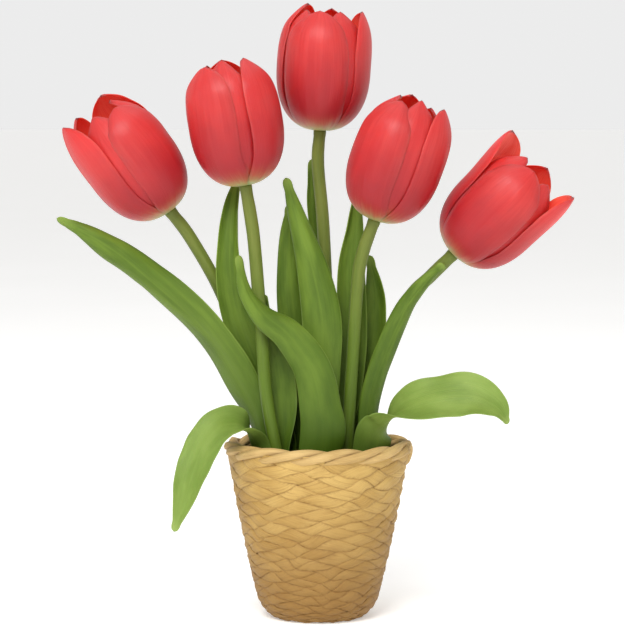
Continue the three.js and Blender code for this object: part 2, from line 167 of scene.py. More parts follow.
PETAL_GRID = (46, 27)  # points along and across
PETAL_POINTING = 4.8
PETAL_ROUNDING = 0.5
PETAL_CURL = 3.6  # how far an upright petal's tip bends inwards
PETAL_FOOT_SPREAD = 1.24  # how much wider a petal is at its foot, where the petals meet
PETAL_GROOVE = 0.45
PETAL_EDGE_WAVE = 0.7
PETAL_DENT = 0.2
LEAF_GRID = (96, 21)
LEAF_TIP = 2.8  # half width that a leaf keeps until its tip rounds off
LEAF_TIP_START = 0.972
TIP_CHANNEL = 0.8  # how much deeper than the rest of the blade the channel near a leaf's tip is
LEAF_GROOVE = 0.35
LEAF_EDGE_WAVE = 0.09  # of the half width
STEM_GRID = (90, 29)
STEM_DOME = [(0.5, 1.0), (1.0, 0.95), (1.4, 0.85), (1.7, 0.68)]  # rise over its end, share of its radius
PISTIL_HEIGHT = 18.5
STIGMA = [(1.5, 17.6), (2.6, 18.4), (3.2, 19.2), (3.1, 20.0), (2.3, 20.6), (1.2, 21.0)]  # radius, height
PISTIL_POINTS = 16
STAMENS = 6
STAMEN_POINTS = 9
BUD_AROUND = 19
# how far out and how high the parts of a stamen start and end
FILAMENT = {"out": (0.9, 5.2), "height": (2.5, 10.5)}
ANTHER = {"out": (5.0, 7.2), "height": (9.8, 19.5)}
# the side value that picks each organ's colour
ORGANS = {"pistil": 0.0, "stigma": 0.34, "filament": 0.67, "anther": 1.0}
LATHE_POINTS = 97
COIL = {"radius": 21, "width": 4.2, "height": 0.9, "clear": 0.05}  # the ridges under the basket's foot
COIL_EDGE = [(21.5, 1.2), (22.2, 2.0), (22.8, 2.6)]
STRANDS = 12  # each way round the basket
STRAND_ANGLE = math.radians(18)  # from the level
# under: how far the strands go on beneath the foot; over: how far they reach up into the rope
STRAND = {"thickness": 1.15, "rise": 0.6, "bed": 1.4, "cover": 1.02, "under": 6, "over": 4.2}
STRAND_GRID = (176, 11)
ROPE = {
    "strands": 3, "turns": 5, "strand_radius": 2.35, "offset": 2.15, "inset": 0.8, "drop": 1.25, "start": 1.3,
}
ROPE_POINTS = 241
TAIL_POINTS = 70
STRAW_AROUND = 25

# ---- Geometry helpers ----


def lerp(a, b, share):
    return a + (b - a) * share


def smoothstep(x, low, high):
    share = np.clip((x - low) / (high - low), 0, 1)
    return share * share * (3 - 2 * share)


def ripple(x, seed, octaves=3):
    """A smooth line that wanders between about -1 and 1 as x goes on."""
    draw = random.Random(seed)
    total = np.zeros_like(np.asarray(x, float))
    for octave in range(octaves):
        pace = 2**octave * draw.uniform(0.8, 1.25)
        total += np.sin(x * pace + draw.uniform(0, 2 * math.pi)) / 1.6**octave
    return total / 2


def unit(vectors):
    return vectors / np.linalg.norm(vectors, axis=-1, keepdims=True)


def turned(vectors, axis, angle):
    """Vectors turned by angle, in radians, about unit axes that are square to them."""
    angle = angle[..., None]
    return vectors * np.cos(angle) + np.cross(axis, vectors) * np.sin(angle)


def along(points, share):
    """Values and directions of the smooth curve through points, at shares of its run."""
    points = np.asarray(points, float)
    ends = np.vstack([2 * points[0] - points[1], points, 2 * points[-1] - points[-2]])
    last = len(points) - 1
    at = np.clip(share, 0, 1) * last
    i = np.minimum(at.astype(int), last - 1)
    w = (at - i)[..., None]
    before, start, end, after = ends[i], ends[i + 1], ends[i + 2], ends[i + 3]
    leave, arrive = (end - before) / 2, (after - start) / 2
    bend = 2 * start - 2 * end + leave + arrive
    turn = 3 * end - 3 * start - 2 * leave - arrive
    value = ((bend * w + turn) * w + leave) * w + start
    slope = (3 * bend * w + 2 * turn) * w + leave
    return value, slope


def capped(rows):
    """The rows with the first and the last one given twice, for the closed ends of a sheet."""
    return np.concatenate([rows[:1], rows, rows[-1:]])


def sheet(points, flow, side, tile):
    """One grid of a piece. The materials read flow and side, and tile is its UV box."""
    return {"points": points, "flow": flow, "side": side, "tile": tile}


def corners_of(grid):
    """The four corners of every face of a grid, one row of values for each corner."""
    faces = np.stack([grid[:-1, :-1], grid[1:, :-1], grid[1:, 1:], grid[:-1, 1:]], axis=2)
    return faces.reshape(-1, 4, *grid.shape[2:])


def mesh_of(name, sheets):
    points, faces, flows, sides, tiles = [], [], [], [], []
    count = 0
    for part in sheets:
        rows, columns = part["points"].shape[:2]
        index = np.arange(rows * columns).reshape(rows, columns)
        faces.append(corners_of(index) + count)
        count += rows * columns
        points.append(part["points"].reshape(-1, 3) * MM)
        flows.append(corners_of(part["flow"]).reshape(-1, 3))
        low_x, low_y, high_x, high_y = part["tile"]
        tile = np.meshgrid(np.linspace(low_x, high_x, columns), np.linspace(low_y, high_y, rows))
        tiles.append(corners_of(np.stack(tile, axis=-1)).reshape(-1, 2))
        sides.append(corners_of(np.broadcast_to(part["side"], (rows, columns))).reshape(-1))
    mesh = bpy.data.meshes.new(name)
    mesh.from_pydata(np.concatenate(points).tolist(), [], np.concatenate(faces).tolist())
    mesh.attributes.new("flow", "FLOAT_VECTOR", "CORNER")
    mesh.attributes["flow"].data.foreach_set("vector", np.concatenate(flows).astype(np.float32).ravel())
    mesh.attributes.new("side", "FLOAT", "CORNER")
    mesh.attributes["side"].data.foreach_set("value", np.concatenate(sides).astype(np.float32))
    mesh.uv_layers.new(name="OFBake")
    mesh.uv_layers["OFBake"].data.foreach_set("uv", np.concatenate(tiles).astype(np.float32).ravel())
    weld(mesh)
    mesh.polygons.foreach_set("use_smooth", [True] * len(mesh.polygons))
    return mesh


def weld(mesh):
    """Joins the mesh's sheets where they meet and turns its faces outwards."""
    solid = bmesh.new()
    solid.from_mesh(mesh)
    bmesh.ops.remove_doubles(solid, verts=solid.verts, dist=WELD)
    bmesh.ops.dissolve_degenerate(solid, edges=solid.edges, dist=WELD)
    bmesh.ops.recalc_face_normals(solid, faces=solid.faces)
    solid.to_mesh(mesh)
    solid.free()


def add_piece(name, sheets, material, slot, *nodes):
    """A visible piece that stands for CAD nodes, with the given material. Its slot argument is not used."""
    mesh = mesh_of(name, sheets)
    mesh.materials.append(material)
    piece = bpy.data.objects.new(name, mesh)
    bpy.context.scene.collection.objects.link(piece)
    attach(piece, "root")
    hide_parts(*nodes)


def blade(face, rows, columns, thickness, seed):
    """A thin closed leaf or petal whose margins thin out.

    face(u, v) gives its middle surface and inward normal. side is 0 on the outer sheet and 1 on the inner.
    """
    u, v = np.meshgrid(rows, columns, indexing="ij")
    points, normals = face(u, v)
    margin = np.sqrt(np.clip(1 - np.abs(v) ** 7, 0, 1)) * np.sqrt(np.clip(1 - u**40, 0, 1))
    margin *= np.sqrt(np.clip(1 - (1 - u) ** 60, 0, 1))
    lift = normals * (thickness / 2 * margin)[..., None]
    flow = np.stack([u, v, np.full_like(u, seed)], axis=-1)
    return [
        sheet(points - lift, flow, 0, OUTER_TILE),
        sheet(points + lift, flow, 1, INNER_TILE),
    ]


def run_along(path):
    """How far along the path each of its points is."""
    return np.concatenate([[0], np.cumsum(np.linalg.norm(np.diff(path, axis=0), axis=1))])


def tube(path, ways, radii, tile=WHOLE_TILE, seed=0.0):
    """A tube along a path, drawn shut at both ends: ways are its directions, radii[row, column] its size."""
    around = radii.shape[1]
    ways = unit(ways)
    side = np.zeros_like(path)
    side[0] = unit(np.cross(ways[0], [0.31, 0.22, 0.93]))
    for i in range(1, len(path)):
        side[i] = unit(side[i - 1] - ways[i] * np.dot(side[i - 1], ways[i]))
    up = np.cross(ways, side)
    angle = np.linspace(0, 2 * math.pi, around)
    rings = path[:, None, :] + (
        side[:, None, :] * np.cos(angle)[:, None] + up[:, None, :] * np.sin(angle)[:, None]
    ) * radii[..., None]
    start = np.repeat(path[:1, None, :], around, axis=1)
    end = np.repeat(path[-1:, None, :], around, axis=1)
    points = np.concatenate([start, rings, end])
    run = capped(run_along(path)) / 10 + seed
    turn = np.broadcast_to(angle, (len(run), around))
    flow = np.stack([np.cos(turn), np.sin(turn), np.broadcast_to(run[:, None], turn.shape)], axis=-1)
    return sheet(points, flow, 0, tile)


def lathe(profile, tile):
    """A closed outline, as (radius, height) pairs, turned round the axis."""
    profile = np.asarray(profile, float)
    angle = np.linspace(0, 2 * math.pi, LATHE_POINTS)
    radius, height = profile[:, :1], profile[:, 1:]
    points = np.stack([radius * np.sin(angle), -radius * np.cos(angle), height + 0 * angle], axis=-1)
    return sheet(points, points / 10, 0, tile)


# ---- Materials ----


def colour(red, green, blue):
    """A linear colour with full alpha, from its 0 to 255 screen values."""
    def linear(value):
        value /= 255
        return value / 12.92 if value <= 0.04045 else ((value + 0.055) / 1.055) ** 2.4
    return (linear(red), linear(green), linear(blue), 1)


class Shader:
    """A material's nodes, with short hands for the ones used here."""

    def __init__(self, name):
        self.material = bpy.data.materials.new(name)
        self.material.use_nodes = True
        self.tree = self.material.node_tree
        self.surface = self.tree.nodes["Principled BSDF"]
        flow = self.add("ShaderNodeAttribute", attribute_name="flow").outputs["Vector"]
        parts = self.add("ShaderNodeSeparateXYZ", {0: flow})
        self.u, self.v, self.w = parts.outputs
        self.side = self.add("ShaderNodeAttribute", attribute_name="side").outputs["Fac"]
        self.place = self.add("ShaderNodeTexCoord").outputs["Object"]

    def add(self, kind, inputs=None, **settings):
        node = self.tree.nodes.new(kind)
        for name, value in settings.items():
            setattr(node, name, value)
        for key, value in (inputs or {}).items():
            if isinstance(value, bpy.types.NodeSocket):
                self.tree.links.new(value, node.inputs[key])
            else:
                node.inputs[key].default_value = value
        return node

    def maths(self, operation, *values):
        return self.add("ShaderNodeMath", dict(enumerate(values)), operation=operation).outputs[0]

    def times(self, value, factor):
        return self.maths("MULTIPLY", value, factor)

    def relief(self, coarse, fine):
        """A height for the bump, from a coarse and a fine pattern."""
        return self.maths("ADD", self.times(coarse, 0.6), self.times(fine, 0.4))

    def height(self):
        """The height over the floor, in metres."""
        return self.add("ShaderNodeSeparateXYZ", {0: self.place}).outputs[2]

    def mix(self, share, first, second):
        return self.add("ShaderNodeMix", {0: share, 6: first, 7: second}, data_type="RGBA").outputs[2]

    def vector(self, x, y, z):
        return self.add("ShaderNodeCombineXYZ", {0: x, 1: y, 2: z}).outputs[0]

    def noise(self, vector, scale, detail, roughness=0.5):
        inputs = {"Vector": vector, "Scale": scale, "Detail": detail, "Roughness": roughness}
        return self.add("ShaderNodeTexNoise", inputs).outputs["Fac"]

    def span(self, value, low, high, to_low=0.0, to_high=1.0):
        """value carried from low..high to to_low..to_high, smoothly and held at both ends."""
        inputs = {0: value, 1: low, 2: high, 3: to_low, 4: to_high}
        return self.add("ShaderNodeMapRange", inputs, interpolation_type="SMOOTHSTEP").outputs[0]

    def ramp(self, value, stops, interpolation="LINEAR"):
        node = self.add("ShaderNodeValToRGB", {0: value})
        node.color_ramp.interpolation = interpolation
        while len(node.color_ramp.elements) < len(stops):
            node.color_ramp.elements.new(0.5)
        for element, (position, shade) in zip(node.color_ramp.elements, stops):
            element.position = position
            element.color = shade
        return node.outputs[0]

    def bump(self, height, strength, distance):
        inputs = {"Height": height, "Strength": strength, "Distance": distance}
        return self.add("ShaderNodeBump", inputs).outputs[0]

    def finish(self, base, roughness, normal, **fixed):
        """Links what varies over the surface and sets the rest on the shader's own sockets."""
        for key, value in {"Base Color": base, "Roughness": roughness, "Normal": normal}.items():
            self.tree.links.new(value, self.surface.inputs[key])
        for key, value in fixed.items():
            self.surface.inputs[key.replace("_", " ")].default_value = value
        return self.material


def petal_material():
    s = Shader("petal_satin")
    veins = s.noise(s.vector(s.times(s.v, 7), s.times(s.u, 1.3), s.w), 1.6, 4, 0.6)
    fine = s.noise(s.vector(s.times(s.v, 34), s.times(s.u, 2.2), s.w), 1.8, 3, 0.6)
    cloud = s.noise(s.vector(s.v, s.times(s.u, 2), s.w), 1.3, 2)
    red = s.mix(s.span(veins, 0.3, 0.7), colour(196, 42, 42), colour(206, 56, 54))
    red = s.mix(s.span(cloud, 0.35, 0.7, 0, 0.6), red, colour(200, 46, 48))
    red = s.mix(s.span(fine, 0.45, 0.8, 0, 0.14), red, colour(226, 98, 94))
    # painted highlight: the petal's margins are mixed towards a lighter pink
    margin = s.span(s.maths("ABSOLUTE", s.v), 0.9, 1.0, 0, 0.3)
    red = s.mix(margin, red, colour(220, 84, 80))
    # deeper crimson towards the petal's lower half: partly the petal's own colour, partly painted shade
    low = s.maths("ADD", s.u, s.span(cloud, 0.3, 0.7, -0.06, 0.06))
    red = s.mix(s.span(low, 0.3, 0.74, 0.9, 0.0), red, colour(156, 24, 33))
    # the inner faces are lighter and more orange: partly their own colour, partly painted light standing in
    # for light shining through the petals
    inside = s.mix(s.span(fine, 0.3, 0.7), colour(226, 76, 62), colour(238, 100, 82))
    red = s.mix(s.side, red, inside)
    start = s.maths("ADD", s.u, s.span(veins, 0.2, 0.8, -0.03, 0.03))
    base = s.ramp(start, [
        (0.0, colour(136, 144, 74)), (0.09, colour(168, 152, 100)), (0.17, colour(178, 116, 84)),
        (0.3, colour(182, 56, 52))])
    body = s.span(start, 0.07, 0.3)
    shade = s.mix(body, base, red)
    rough = s.span(fine, 0.2, 0.8, 0.36, 0.5)
    return s.finish(
        shade, rough, s.bump(s.relief(veins, fine), 0.45, 0.0006),
        Subsurface_Weight=0.7, Subsurface_Radius=(0.007, 0.0012, 0.0008), Subsurface_Scale=0.8,
        Specular_IOR_Level=0.35,
    )


def leaf_material(name, deep, light, edge):
    s = Shader(name)
    grain = s.noise(s.vector(s.times(s.v, 14), s.times(s.u, 2.5), s.w), 1.5, 4, 0.6)
    lines = s.noise(s.vector(s.times(s.v, 48), s.times(s.u, 1.2), s.w), 1.2, 2, 0.5)
    cloud = s.noise(s.vector(s.v, s.times(s.u, 5), s.w), 1.4, 3)
    green = s.mix(s.span(cloud, 0.3, 0.7, 0.2, 0.8), deep, light)
    green = s.mix(s.span(grain, 0.35, 0.75, 0, 0.25), green, light)
    green = s.mix(s.span(lines, 0.5, 0.75, 0, 0.22), green, deep)
    middle = s.span(s.maths("ABSOLUTE", s.v), 0.0, 0.1, 0.25, 0.0)
    green = s.mix(middle, green, light)
    # painted highlight: a lighter line along the leaf's margins
    rim = s.span(s.maths("ABSOLUTE", s.v), 0.93, 1.0, 0, 0.5)
    green = s.mix(rim, green, edge)
    # painted shade: the leaf is darker low down near the vase's edge and towards its base in the vase
    green = s.mix(s.span(s.height(), 0.09, 0.2, 0.5, 0.0), green, deep)
    green = s.mix(s.span(s.u, 0.28, 0.5, 0.75, 0.0), green, colour(58, 84, 6))
    tip = s.span(s.u, 0.94, 1.0, 0, 0.5)
    green = s.mix(tip, green, edge)
    rough = s.span(grain, 0.2, 0.8, 0.42, 0.58)
    return s.finish(
        green, rough, s.bump(s.relief(lines, grain), 0.5, 0.0005),
        Subsurface_Weight=0.05, Subsurface_Radius=(0.001, 0.003, 0.001), Subsurface_Scale=0.5,
        Specular_IOR_Level=0.26,
    )


def stem_material():
    s = Shader("stem_skin")
    fibre = s.noise(s.vector(s.times(s.u, 4), s.times(s.v, 4), s.times(s.w, 0.25)), 2.0, 4, 0.6)
    cloud = s.noise(s.vector(s.u, s.v, s.times(s.w, 0.35)), 1.2, 3)
    green = s.mix(s.span(s.height(), 0.13, 0.24), colour(84, 108, 22), colour(108, 116, 48))
    green = s.mix(s.span(cloud, 0.35, 0.7, 0, 0.5), green, colour(76, 96, 24))
    green = s.mix(s.span(fibre, 0.5, 0.8, 0, 0.2), green, colour(148, 156, 98))
    rough = s.span(fibre, 0.2, 0.8, 0.42, 0.6)
    return s.finish(
        green, rough, s.bump(fibre, 0.4, 0.0005),
        Subsurface_Weight=0.05, Subsurface_Radius=(0.002, 0.003, 0.001), Subsurface_Scale=0.5,
        Specular_IOR_Level=0.3,
    )


def straw_material(name, pale, mid, dark, deep):
    """Straw whose fibres follow flow's first value. The second is across a strand, the third its own number.

    side is 1 where the straw lies deep in the weave and 0 where it doesn't; there the colour goes towards
    deep, a painted shade.
    """
    s = Shader(name)
    fibre = s.noise(s.vector(s.times(s.u, 0.25), s.times(s.v, 3.2), s.w), 1.8, 5, 0.7)
    thread = s.noise(s.vector(s.times(s.u, 0.4), s.times(s.v, 11), s.w), 1.5, 4, 0.65)
    own = s.noise(s.vector(s.times(s.u, 0.4), s.w, s.times(s.w, 3.1)), 1.0, 2)
    blotch = s.noise(s.place, 38.0, 3, 0.55)
    shade = s.mix(s.span(own, 0.3, 0.7), mid, pale)
    shade = s.mix(s.span(fibre, 0.4, 0.7, 0, 0.7), shade, pale)
    shade = s.mix(s.span(thread, 0.48, 0.72, 0, 0.6), shade, dark)
    shade = s.mix(s.span(blotch, 0.45, 0.75, 0, 0.35), shade, dark)
    # darker towards the basket's bottom: partly browner straw, partly painted shade
    shade = s.mix(s.span(s.height(), 0.0, 0.1, 0.8, 0.0), shade, dark)
    # painted shade: the straw is darkened towards deep where side says it lies deep in the weave
    shade = s.mix(s.times(s.side, 0.56), shade, deep)
    rough = s.span(fibre, 0.2, 0.8, 0.5, 0.72)
    return s.finish(shade, rough, s.bump(s.relief(fibre, thread), 0.6, 0.0006), Specular_IOR_Level=0.35)


def heart_material():
    """side picks the organ, as ORGANS says: pistil, stigma, filament or anther."""
    s = Shader("heart_organs")
    dust = s.noise(s.place, 900.0, 4, 0.6)
    grain = s.noise(s.place, 260.0, 3)
    tone = s.ramp(s.side, [
        (0.0, colour(150, 168, 84)), (0.3, colour(226, 214, 140)), (0.6, colour(96, 60, 74)),
        (0.9, colour(46, 30, 40))], "CONSTANT")
    tone = s.mix(s.span(grain, 0.4, 0.75, 0, 0.35), tone, colour(196, 190, 110))
    tone = s.mix(s.span(dust, 0.55, 0.7, 0, 0.25), tone, colour(214, 180, 96))
    return s.finish(tone, s.span(grain, 0.2, 0.8, 0.5, 0.7), s.bump(dust, 0.5, 0.0003))


def liner_material():
    s = Shader("liner_coat")
    cloud = s.noise(s.place, 60.0, 3)
    grit = s.noise(s.place, 800.0, 3)
    tone = s.mix(s.span(cloud, 0.3, 0.7), colour(70, 58, 44), colour(92, 78, 58))
    tone = s.mix(s.span(grit, 0.55, 0.75, 0, 0.3), tone, colour(120, 104, 80))
    return s.finish(tone, s.span(cloud, 0.3, 0.7, 0.45, 0.65), s.bump(grit, 0.3, 0.0002))


# ---- The vase ----


def basket_radius(z):
    share = z / BASKET["height"]
    line = lerp(BASKET["low_radius"], BASKET["top_radius"], share) + BASKET["bulge"] * np.sin(np.pi * share)
    tuck = np.clip(1 - z / BASKET["corner_height"], 0, None) ** BASKET["corner_power"]
    return line - (BASKET["low_radius"] - BASKET["foot_radius"]) * tuck


class Wall:
    """The basket's outer surface, by the run up its outline from the foot."""

    def __init__(self):
        side = np.linspace(0, BASKET["height"] + STRAND["over"], 600)
        under = np.linspace(STRAND["under"], 0, 40)[:-1]
        self.z = np.concatenate([0 * under, side])
        self.r = np.concatenate([BASKET["foot_radius"] - under, basket_radius(side)])
        steps = np.hypot(np.diff(self.z), np.diff(self.r))
        self.run = np.concatenate([[0], np.cumsum(steps)])
        middle = (self.r[1:] + self.r[:-1]) / 2
        self.phase = np.concatenate([[0], np.cumsum(steps / (middle * math.tan(STRAND_ANGLE)))])
        slope = np.stack([np.gradient(self.r, self.run), np.gradient(self.z, self.run)])
        self.slope_r, self.slope_z = slope / np.hypot(*slope)

    def at(self, run, table):
        return np.interp(run, self.run, table)

    def point(self, run, angle, depth):
        """The point `depth` inside the surface."""
        run = np.clip(run, 0, self.run[-1])
        r = self.at(run, self.r) - depth * self.at(run, self.slope_z)
        z = self.at(run, self.z) + depth * self.at(run, self.slope_r)
        return np.stack([r * np.sin(angle), -r * np.cos(angle), z], axis=-1)


def warp(angle, run):
    """How far hand work has pulled the weave off its even pattern: radians round the basket, and mm up it."""
    turn = 0.05 * np.sin(3 * angle + run / 11) + 0.04 * np.sin(7 * angle - run / 6 + 1)
    turn += 0.03 * np.sin(run / 4.3 + 2)
    lift = 0.9 * np.sin(4 * angle + run / 13 + 2) + 0.6 * np.sin(9 * angle - run / 9)
    lift += 0.4 * np.sin(15 * angle + run / 5)
    return turn, lift * smoothstep(run, 6, 20) * (1 - smoothstep(run, 92, 104))


def strand_sheet(wall, way, number):
    """One strand of the weave. It passes over and under the strands that go the other way, in turn.

    side is 1 where the strand dives under another one and up to 0.6 at its edges; the material paints shade
    there.
    """
    seed = number + (0 if way > 0 else 100)
    rows, top = STRAND_GRID
    run = np.linspace(0.2, wall.run[-1] - 0.2, rows)
    across = np.concatenate([np.sin(np.linspace(-1, 1, top) * math.pi / 2), [0.7, 0, -0.7, -1]])
    is_top = np.arange(len(across)) < top
    run, across = np.meshgrid(run, across, indexing="ij")
    radius = wall.at(run, wall.r)
    phase = wall.at(run, wall.phase)
    spacing = 2 * math.pi * radius / STRANDS * math.sin(STRAND_ANGLE)
    half = spacing / 2 * STRAND["cover"] * (1 + 0.12 * ripple(phase * 6, seed))
    drift = 0.5 * ripple(phase * 4, seed + 50)
    step = across * half + drift
    angle = 2 * math.pi * number / STRANDS + way * phase - way * step * math.sin(STRAND_ANGLE) / radius
    at = run + step * math.cos(STRAND_ANGLE)
    other = (angle + way * wall.at(at, wall.phase)) * STRANDS / (2 * math.pi)
    over = way * np.cos(math.pi * (number + other))
    rise = STRAND["rise"] * over
    lens = STRAND["thickness"] / 2 * (np.clip(1 - np.abs(across) ** 2.6, 0, 1)) ** 0.5
    strips = 0.2 * np.cos(across * 6.5 + 2.5 * ripple(phase * 2, seed + 9)) * (1 - across**2)
    # painted shade mask: 1 where the strand dives under another one, up to 0.6 at its edges
    painted_groove_shade = np.maximum(smoothstep(-over, -0.3, 0.4), 0.6 * smoothstep(np.abs(across), 0.8, 1.0))
    turn, lift = warp(angle, at)
    height = np.where(is_top, lens + strips, -lens)
    points = wall.point(at + lift, angle + turn, STRAND["bed"] - rise - height)
    ends = (row.mean(axis=1, keepdims=True) for row in (points[:1], points[-1:]))
    start, end = (np.repeat(middle, across.shape[1], axis=1) for middle in ends)
    points = np.concatenate([start, points, end])
    length = run / math.sin(STRAND_ANGLE) / 10
    flow = np.stack([length, across, np.full_like(run, seed * 1.7)], axis=-1)
    order = (number + (0 if way > 0 else STRANDS)) / (2 * STRANDS)
    tile = (0.01, order * 0.8 + 0.002, 0.99, (order + 1 / (2 * STRANDS)) * 0.8 - 0.002)
    return sheet(points, capped(flow), capped(painted_groove_shade), tile)


def basket_core():
    """The closed shell behind the strands, with a coiled underside."""
    back = STRAND["bed"] + STRAND["rise"] + STRAND["thickness"] / 2
    inner = BASKET["wall"]
    low = [(r, COIL["clear"] + COIL["height"] * (1 - abs(math.cos(r * math.pi / COIL["width"]))))
           for r in np.linspace(0, COIL["radius"], 60)]
    up = [(basket_radius(z) - back * 0.98, z) for z in np.linspace(2.8, BASKET["height"], 40)]
    down = [(basket_radius(z) - inner, z) for z in np.linspace(BASKET["height"], BASKET["floor"], 40)]
    core = lathe(low + COIL_EDGE + up + down + [(0, BASKET["floor"])], (0.01, 0.82, 0.99, 0.99))
    # painted shade: the core behind the strands is darkened part of the way towards the deep colour
    core["side"] = 0.6
    return core


def rope_middle(angle):
    """The rope's middle line at an angle from the front, and the outward direction there."""
    outward = np.stack([np.sin(angle), -np.cos(angle), 0 * angle], axis=-1)
    level = BASKET["height"] + GAP + ROPE_RADIUS - ROPE["drop"]
    radius = BASKET["top_radius"] - BASKET["wall"] / 2 - ROPE["inset"]
    return outward * radius + [0, 0, level], outward


def straw_tube(path, radius, seed, tile):
    """A bundle of straw: a tube with shallow lobes that wind slowly along it."""
    angle = np.linspace(0, 2 * math.pi, STRAW_AROUND)
    length = run_along(path)
    lobes = 0.055 * np.cos(5 * angle + length[:, None] * 0.04 + seed)
    lobes += 0.045 * np.cos(9 * angle - length[:, None] * 0.05 + 2 * seed)
    part = tube(path, np.gradient(path, axis=0), radius[:, None] * (1 + lobes), tile)
    across = np.broadcast_to(np.linspace(-3, 3, STRAW_AROUND), part["points"].shape[:2])
    run = np.broadcast_to(capped(length)[:, None] / 10, across.shape)
    part["flow"] = np.stack([run, across, np.full(across.shape, seed * 1.3)], axis=-1)
    return part


def rope_strands():
    """Bundles of straw twisted round each other. side is 1 where they press together, and the material paints
    shade there.
    """
    sheets = []
    angle = np.linspace(0, 2 * math.pi, ROPE_POINTS) + ROPE["start"]
    middle, outward = rope_middle(angle)
    for k in range(ROPE["strands"]):
        twist = ROPE["turns"] * angle + 2 * math.pi * k / ROPE["strands"] + 0.25 * np.sin(angle * 2 + k)
        path = middle + ROPE["offset"] * (outward * np.cos(twist)[:, None] + UP * np.sin(twist)[:, None])
        swell = ROPE["strand_radius"] * (1 + 0.06 * np.sin(angle * 5 + 2 * k))
        strand = straw_tube(path, swell, 3 + k, (0.01, 0.01 + 0.2 * k, 0.99, 0.19 + 0.2 * k))
        reach = np.linalg.norm(strand["points"] - capped(middle)[:, None], axis=-1)
        # painted shade mask: highest where the strands press together
        strand["side"] = 1 - smoothstep(reach, 2.2, 3.9)
        sheets.append(strand)
    return sheets


def rope_tail(k):
    """One straw of the rope's loose end, laid over its strands and tucked in below them.

    Its route is (turn from the front in degrees, distance out of the rope's middle line, height over it).
    """
    route = [
        (30 + 4 * k, 0.6, -0.5 + 1.5 * k), (46 + 5 * k, 1.6, 1.6 + 0.5 * k), (62 + 6 * k, 1.0, 3.2),
        (76 + 6 * k, 0.8, 3.4 - 0.3 * k), (87 + 4 * k, 2.4, 1.8), (93 + 3 * k, 3.0, -2.5),
        (95 + 3 * k, 1.6, -7.5), (95 + 3 * k, -0.6, -9.5)]
    turn, out, rise = along(route, np.linspace(0, 1, TAIL_POINTS))[0].T
    middle, outward = rope_middle(np.radians(turn))
    path = middle + outward * out[:, None] + UP * rise[:, None]
    size = 2.0 * np.sin(np.linspace(0.12, 1, TAIL_POINTS) * math.pi / 2) ** 0.5
    return straw_tube(path, size, 8 + k, (0.01, 0.61 + 0.19 * k, 0.99, 0.79 + 0.19 * k))


def liner_sheet():
    inset = BASKET["wall"] + LINER["clearance"]
    low = BASKET["floor"] + GAP
    high = BASKET["height"] - LINER["drop"]
    wall = LINER["wall"]
    outer = [(basket_radius(z) - inset, z) for z in np.linspace(low, high, 40)]
    lip = [(basket_radius(high) - inset - wall * (0.5 - 0.5 * math.cos(a)), high + 0.4 * math.sin(a))
           for a in np.linspace(0.3, 2.8, 6)]
    inner = [(basket_radius(z) - inset - wall, z) for z in np.linspace(high, low + wall, 40)]
    return lathe([(0, low)] + outer + lip + inner + [(0, low + wall)], WHOLE_TILE)


def add_vase():
    wall = Wall()
    strands = [strand_sheet(wall, way, k) for way in (1, -1) for k in range(STRANDS)]
    straw = straw_material(
        "straw_weave", colour(202, 168, 98), colour(174, 138, 70), colour(130, 92, 40), colour(106, 70, 28))
    add_piece("basket_weave", [basket_core()] + strands, straw, "straw", "basket")
    rope = straw_material(
        "straw_rope", colour(206, 174, 114), colour(178, 144, 84), colour(132, 96, 48), colour(96, 62, 26))
    twist = rope_strands() + [rope_tail(k) for k in (0, 1)]
    add_piece("rope_rim_twist", twist, rope, "straw_rope", "rope_rim")
    add_piece("liner_cup", [liner_sheet()], liner_material(), "liner", "liner")


# ---- Stems ----


def stem_foot():
    return BASKET["floor"] + GAP + LINER["wall"] + GAP + STEM_RADIUS * math.sin(math.radians(STEM_LEAN))


def stem_route(tulip):
    (x, y), *rest = tulip["route"]
    return [(x, y, stem_foot())] + [(px, py, BASKET["height"] + pz) for px, py, pz in rest]


def stem_at(route, z):
    """The point of a stem's middle line at a height, found by halving."""
    low, high = 0.0, 1.0
    for _ in range(30):
        middle = (low + high) / 2
        if along(route, np.array([middle]))[0][0, 2] < z:
            low = middle
        else:
            high = middle
    return along(route, np.array([low]))[0][0]


def stem_sheet(route, seed):
    rows, around = STEM_GRID
    share = np.linspace(0, 1, rows)
    path, ways = along(route, share)
    swell = 1 + 0.02 * ripple(share * 9, seed)
    neck = -0.06 * smoothstep(share, 0.9, 0.965) + 0.07 * smoothstep(share, 0.97, 1)
    end = unit(ways[-1])
    rise, dome = np.array(STEM_DOME).T
    path = np.concatenate([path, path[-1] + rise[:, None] * end])
    ways = np.concatenate([ways, np.repeat(end[None], len(rise), axis=0)])
    size = STEM_RADIUS * np.concatenate([swell + neck, dome])
    ribs = 0.012 * np.cos(6 * np.linspace(0, 2 * math.pi, around) + seed)
    return tube(path, ways, size[:, None] * (1 + ribs), seed=seed)


# ---- Flowers ----


def cup_outline(t):
    belly, foot = CUP["belly_radius"], CUP["foot_radius"]
    start = math.asin((foot / belly) ** (1 / CUP["roundness"]))
    angle = lerp(start, math.pi / 2, np.clip(t / 0.5, 0, 1))
    bowl_r = belly * np.sin(angle) ** CUP["roundness"]
    bowl_z = CUP["belly_height"] * (1 - np.clip(np.cos(angle), 0, 1) ** CUP["roundness"])
    share = np.clip((t - 0.5) / 0.5, 0, None)
    side_r = belly - (belly - CUP["mouth_radius"]) * share ** CUP["closing"]
    side_z = lerp(CUP["belly_height"], CUP["height"], share)
    return np.where(t < 0.5, bowl_r, side_r), np.where(t < 0.5, bowl_z, side_z)


